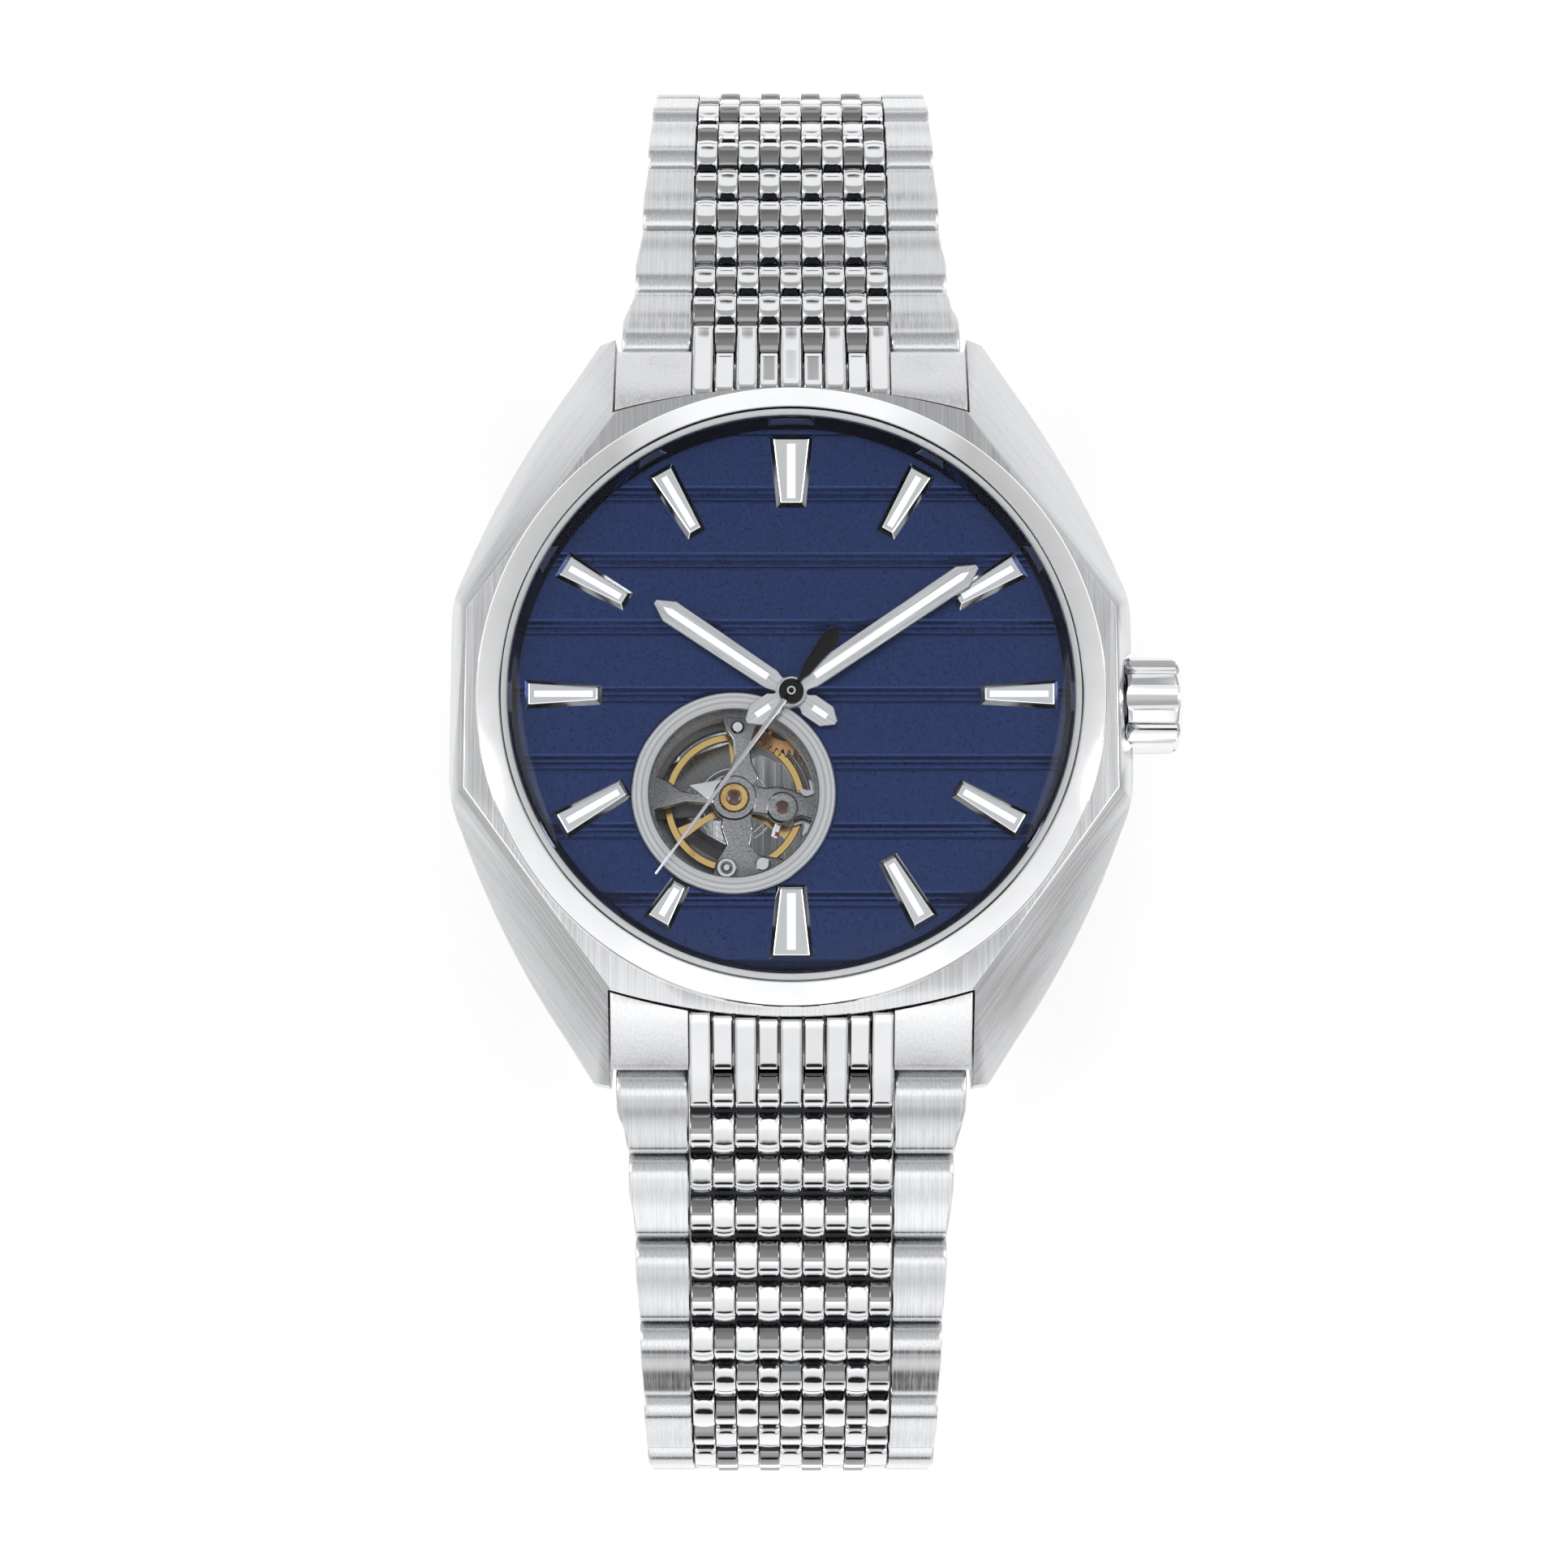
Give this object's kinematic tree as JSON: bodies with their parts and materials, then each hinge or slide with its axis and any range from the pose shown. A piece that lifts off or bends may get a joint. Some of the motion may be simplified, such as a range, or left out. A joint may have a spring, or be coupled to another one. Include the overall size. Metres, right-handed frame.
{
  "type": "automatic wristwatch",
  "caption": "Open-heart automatic wristwatch with a blue dial, a faceted steel case, an integrated steel bracelet that drapes in a loop, and a folding clasp.",
  "frame": {"origin": "centre of the case back's outer face, at the middle of the rear window", "axes": "+Z out through the dial, +Y toward twelve o'clock along the bracelet, +X toward the crown"},
  "size_m": [0.0451, 0.0952, 0.047],
  "materials": {
    "brushed_steel": "fine directional brushing",
    "polished_steel": "mirror polish",
    "blasted_steel": "bead-blasted matt",
    "brass": "gilt, fine brushed",
    "gold_alloy": "polished gold colour",
    "blue_dial": "metallic dark blue with fine grain and horizontal ridges",
    "glass": "clear polished",
    "grey_nylon": "satin",
    "black_plastic": "matt",
    "black_rubber": "matt",
    "ruby": "clear polished jewel"
  },
  "bodies": {
    "case": {"case_middle": "brushed_steel", "bezel": "polished_steel", "crystal": "glass", "crystal_gasket": "grey_nylon", "chapter_ring": "polished_steel", "dial": "blue_dial", "aperture_ring": "brushed_steel", "mainplate": "blasted_steel", "jewel_setting": "ruby", "balance_cock": "blasted_steel", "train_bridge": "blasted_steel", "rotor_bearing": "brushed_steel", "movement_ring": "black_plastic", "case_back": "brushed_steel", "back_window": "glass", "crown_tube": "brushed_steel", "end_link_12": "brushed_steel", "end_link_6": "brushed_steel"},
    "hour_hand": {"hour_hand": "brushed_steel"},
    "minute_hand": {"minute_hand": "brushed_steel", "center_wheel": "brass"},
    "second_hand": {"second_hand": "brushed_steel"},
    "third_wheel": {"third_wheel": "brass"},
    "fourth_wheel": {"fourth_wheel": "brass"},
    "escape_wheel": {"escape_wheel": "polished_steel"},
    "barrel": {"barrel": "brass"},
    "balance": {"balance_wheel": "gold_alloy", "hairspring": "polished_steel"},
    "pallet_fork": {"pallet_fork": "polished_steel"},
    "rotor": {"rotor": "brushed_steel"},
    "crown_slide": {"crown_gasket": "black_rubber"},
    "crown": {"crown": "polished_steel", "winding_stem": "brushed_steel"},
    "link_12_01": {"link_12_01": "brushed_steel"},
    "link_12_02": {"link_12_02": "brushed_steel"},
    "link_12_03": {"link_12_03": "brushed_steel"},
    "link_12_04": {"link_12_04": "brushed_steel"},
    "link_12_05": {"link_12_05": "brushed_steel"},
    "link_12_06": {"link_12_06": "brushed_steel"},
    "link_12_07": {"link_12_07": "brushed_steel"},
    "link_12_08": {"link_12_08": "brushed_steel"},
    "link_12_09": {"link_12_09": "brushed_steel"},
    "link_12_10": {"link_12_10": "brushed_steel"},
    "link_12_11": {"link_12_11": "brushed_steel"},
    "link_6_01": {"link_6_01": "brushed_steel"},
    "link_6_02": {"link_6_02": "brushed_steel"},
    "link_6_03": {"link_6_03": "brushed_steel"},
    "link_6_04": {"link_6_04": "brushed_steel"},
    "link_6_05": {"link_6_05": "brushed_steel"},
    "link_6_06": {"link_6_06": "brushed_steel"},
    "link_6_07": {"link_6_07": "brushed_steel"},
    "link_6_08": {"link_6_08": "brushed_steel"},
    "link_6_09": {"link_6_09": "brushed_steel"},
    "link_6_10": {"link_6_10": "brushed_steel"},
    "link_6_11": {"link_6_11": "brushed_steel"},
    "clasp_lower_blade": {"clasp_lower_blade": "brushed_steel"},
    "clasp_middle_blade": {"clasp_middle_blade": "brushed_steel"},
    "clasp_cover": {"clasp_cover": "brushed_steel"},
    "clasp_button_right": {"clasp_button_right": "polished_steel"},
    "clasp_button_left": {"clasp_button_left": "polished_steel"}
  },
  "joints": [
    {"name": "minute_hand_turn", "type": "hinge", "parent": "case", "child": "minute_hand", "pos_m": [0, 0, 0.0095], "axis": [0, 0, -1], "continuous": true},
    {"name": "hour_hand_turn", "type": "hinge", "parent": "case", "child": "hour_hand", "pos_m": [0, 0, 0.0091], "axis": [0, 0, -1], "continuous": true},
    {"name": "second_hand_turn", "type": "hinge", "parent": "case", "child": "second_hand", "pos_m": [0, 0, 0.01], "axis": [0, 0, -1], "continuous": true},
    {"name": "third_wheel_turn", "type": "hinge", "parent": "case", "child": "third_wheel", "pos_m": [0.003, -0.0021, 0.0048], "axis": [0, 0, -1], "continuous": true},
    {"name": "fourth_wheel_turn", "type": "hinge", "parent": "case", "child": "fourth_wheel", "pos_m": [0.0046, -0.0051, 0.0048], "axis": [0, 0, -1], "continuous": true},
    {"name": "escape_wheel_turn", "type": "hinge", "parent": "case", "child": "escape_wheel", "pos_m": [0.0019, -0.0066, 0.0048], "axis": [0, 0, -1], "continuous": true},
    {"name": "barrel_turn", "type": "hinge", "parent": "case", "child": "barrel", "pos_m": [-0.0022, 0.00505, 0.0048], "axis": [0, 0, -1], "continuous": true},
    {"name": "balance_swing", "type": "hinge", "parent": "case", "child": "balance", "pos_m": [-0.0035, -0.0061, 0.0048], "axis": [0, 0, 1], "range_deg": [-270, 270], "stiffness_Nm_per_rad": 0.000001},
    {"name": "pallet_fork_rock", "type": "hinge", "parent": "case", "child": "pallet_fork", "pos_m": [-0.00057, -0.0069, 0.0054], "axis": [0, 0, 1], "range_deg": [-6, 6]},
    {"name": "rotor_turn", "type": "hinge", "parent": "case", "child": "rotor", "pos_m": [0, 0, 0.0025], "axis": [0, 0, 1], "continuous": true},
    {"name": "crown_pull", "type": "slide", "parent": "case", "child": "crown_slide", "axis": [1, 0, 0], "range_m": [0, 0.0012]},
    {"name": "crown_turn", "type": "hinge", "parent": "crown_slide", "child": "crown", "pos_m": [0.021, 0, 0.0049], "axis": [1, 0, 0], "continuous": true},
    {"name": "bracelet_12_open", "type": "hinge", "parent": "case", "child": "link_12_01", "pos_m": [0, 0.0235, 0.00365], "axis": [1, 0, 0], "range_deg": [0, 13]},
    {"name": "bracelet_12_pin_02", "type": "hinge", "parent": "link_12_01", "child": "link_12_02", "pos_m": [0, 0.02836, 0.00049], "axis": [1, 0, 0], "range_deg": [-8, 0]},
    {"name": "bracelet_12_pin_03", "type": "hinge", "parent": "link_12_02", "child": "link_12_03", "pos_m": [0, 0.03362, -0.00196], "axis": [1, 0, 0], "range_deg": [0, 4]},
    {"name": "bracelet_12_pin_04", "type": "hinge", "parent": "link_12_03", "child": "link_12_04", "pos_m": [0, 0.03869, -0.00477], "axis": [1, 0, 0], "range_deg": [0, 15]},
    {"name": "bracelet_12_pin_05", "type": "hinge", "parent": "link_12_04", "child": "link_12_05", "pos_m": [0, 0.04287, -0.0088], "axis": [1, 0, 0], "range_deg": [0, 17]},
    {"name": "bracelet_12_pin_06", "type": "hinge", "parent": "link_12_05", "child": "link_12_06", "pos_m": [0, 0.04568, -0.01387], "axis": [1, 0, 0], "range_deg": [0, 23]},
    {"name": "bracelet_12_pin_07", "type": "hinge", "parent": "link_12_06", "child": "link_12_07", "pos_m": [0, 0.04628, -0.01964], "axis": [1, 0, 0], "range_deg": [0, 26]},
    {"name": "bracelet_12_pin_08", "type": "hinge", "parent": "link_12_07", "child": "link_12_08", "pos_m": [0, 0.0443, -0.02509], "axis": [1, 0, 0], "range_deg": [0, 24]},
    {"name": "bracelet_12_pin_09", "type": "hinge", "parent": "link_12_08", "child": "link_12_09", "pos_m": [0, 0.04027, -0.02926], "axis": [1, 0, 0], "range_deg": [0, 20]},
    {"name": "bracelet_12_pin_10", "type": "hinge", "parent": "link_12_09", "child": "link_12_10", "pos_m": [0, 0.03506, -0.03181], "axis": [1, 0, 0], "range_deg": [0, 15]},
    {"name": "bracelet_12_pin_11", "type": "hinge", "parent": "link_12_10", "child": "link_12_11", "pos_m": [0, 0.02936, -0.03291], "axis": [1, 0, 0], "range_deg": [0, 9]},
    {"name": "bracelet_6_open", "type": "hinge", "parent": "case", "child": "link_6_01", "pos_m": [0, -0.0235, 0.00365], "axis": [-1, 0, 0], "range_deg": [0, 13]},
    {"name": "bracelet_6_pin_02", "type": "hinge", "parent": "link_6_01", "child": "link_6_02", "pos_m": [0, -0.02836, 0.00049], "axis": [-1, 0, 0], "range_deg": [-8, 0]},
    {"name": "bracelet_6_pin_03", "type": "hinge", "parent": "link_6_02", "child": "link_6_03", "pos_m": [0, -0.03362, -0.00196], "axis": [-1, 0, 0], "range_deg": [0, 4]},
    {"name": "bracelet_6_pin_04", "type": "hinge", "parent": "link_6_03", "child": "link_6_04", "pos_m": [0, -0.03869, -0.00477], "axis": [-1, 0, 0], "range_deg": [0, 15]},
    {"name": "bracelet_6_pin_05", "type": "hinge", "parent": "link_6_04", "child": "link_6_05", "pos_m": [0, -0.04287, -0.0088], "axis": [-1, 0, 0], "range_deg": [0, 17]},
    {"name": "bracelet_6_pin_06", "type": "hinge", "parent": "link_6_05", "child": "link_6_06", "pos_m": [0, -0.04568, -0.01387], "axis": [-1, 0, 0], "range_deg": [0, 23]},
    {"name": "bracelet_6_pin_07", "type": "hinge", "parent": "link_6_06", "child": "link_6_07", "pos_m": [0, -0.04628, -0.01964], "axis": [-1, 0, 0], "range_deg": [0, 26]},
    {"name": "bracelet_6_pin_08", "type": "hinge", "parent": "link_6_07", "child": "link_6_08", "pos_m": [0, -0.0443, -0.02509], "axis": [-1, 0, 0], "range_deg": [0, 24]},
    {"name": "bracelet_6_pin_09", "type": "hinge", "parent": "link_6_08", "child": "link_6_09", "pos_m": [0, -0.04027, -0.02926], "axis": [-1, 0, 0], "range_deg": [0, 20]},
    {"name": "bracelet_6_pin_10", "type": "hinge", "parent": "link_6_09", "child": "link_6_10", "pos_m": [0, -0.03506, -0.03181], "axis": [-1, 0, 0], "range_deg": [0, 15]},
    {"name": "bracelet_6_pin_11", "type": "hinge", "parent": "link_6_10", "child": "link_6_11", "pos_m": [0, -0.02936, -0.03291], "axis": [-1, 0, 0], "range_deg": [0, 9]},
    {"name": "clasp_pin", "type": "hinge", "parent": "link_6_11", "child": "clasp_lower_blade", "pos_m": [0, -0.02357, -0.03312], "axis": [-1, 0, 0], "range_deg": [0, 2]},
    {"name": "clasp_cover_open", "type": "hinge", "parent": "clasp_middle_blade", "child": "clasp_cover", "pos_m": [0, -0.02037, -0.03397], "axis": [-1, 0, 0], "range_deg": [0, 150]},
    {"name": "clasp_blade_unfold", "type": "hinge", "parent": "clasp_lower_blade", "child": "clasp_middle_blade", "pos_m": [0, 0.015, -0.03277], "axis": [1, 0, 0], "range_deg": [0, 150]},
    {"name": "clasp_button_right_press", "type": "slide", "parent": "clasp_cover", "child": "clasp_button_right", "axis": [-1, 0, 0], "range_m": [0, 0.0005], "stiffness_N_per_m": 60},
    {"name": "clasp_button_left_press", "type": "slide", "parent": "clasp_cover", "child": "clasp_button_left", "axis": [1, 0, 0], "range_m": [0, 0.0005], "stiffness_N_per_m": 60}
  ],
  "couplings": [
    {"joint": "hour_hand_turn", "follows": "minute_hand_turn", "ratio": 0.083333},
    {"joint": "second_hand_turn", "follows": "minute_hand_turn", "ratio": 60},
    {"joint": "third_wheel_turn", "follows": "minute_hand_turn", "ratio": -8},
    {"joint": "fourth_wheel_turn", "follows": "minute_hand_turn", "ratio": 60},
    {"joint": "escape_wheel_turn", "follows": "minute_hand_turn", "ratio": -600},
    {"joint": "barrel_turn", "follows": "minute_hand_turn", "ratio": -0.15},
    {"joint": "pallet_fork_rock", "follows": "balance_swing", "ratio": -0.02},
    {"joint": "bracelet_12_pin_02", "follows": "bracelet_12_open", "ratio": -0.61538},
    {"joint": "bracelet_12_pin_03", "follows": "bracelet_12_open", "ratio": 0.30769},
    {"joint": "bracelet_12_pin_04", "follows": "bracelet_12_open", "ratio": 1.1538},
    {"joint": "bracelet_12_pin_05", "follows": "bracelet_12_open", "ratio": 1.3077},
    {"joint": "bracelet_12_pin_06", "follows": "bracelet_12_open", "ratio": 1.7692},
    {"joint": "bracelet_12_pin_07", "follows": "bracelet_12_open", "ratio": 2},
    {"joint": "bracelet_12_pin_08", "follows": "bracelet_12_open", "ratio": 1.8462},
    {"joint": "bracelet_12_pin_09", "follows": "bracelet_12_open", "ratio": 1.5385},
    {"joint": "bracelet_12_pin_10", "follows": "bracelet_12_open", "ratio": 1.1538},
    {"joint": "bracelet_12_pin_11", "follows": "bracelet_12_open", "ratio": 0.69231},
    {"joint": "bracelet_6_pin_02", "follows": "bracelet_6_open", "ratio": -0.61538},
    {"joint": "bracelet_6_pin_03", "follows": "bracelet_6_open", "ratio": 0.30769},
    {"joint": "bracelet_6_pin_04", "follows": "bracelet_6_open", "ratio": 1.1538},
    {"joint": "bracelet_6_pin_05", "follows": "bracelet_6_open", "ratio": 1.3077},
    {"joint": "bracelet_6_pin_06", "follows": "bracelet_6_open", "ratio": 1.7692},
    {"joint": "bracelet_6_pin_07", "follows": "bracelet_6_open", "ratio": 2},
    {"joint": "bracelet_6_pin_08", "follows": "bracelet_6_open", "ratio": 1.8462},
    {"joint": "bracelet_6_pin_09", "follows": "bracelet_6_open", "ratio": 1.5385},
    {"joint": "bracelet_6_pin_10", "follows": "bracelet_6_open", "ratio": 1.1538},
    {"joint": "bracelet_6_pin_11", "follows": "bracelet_6_open", "ratio": 0.69231},
    {"joint": "clasp_pin", "follows": "bracelet_6_open", "ratio": 0.15385},
    {"joint": "clasp_blade_unfold", "follows": "clasp_cover_open", "ratio": 1}
  ]
}
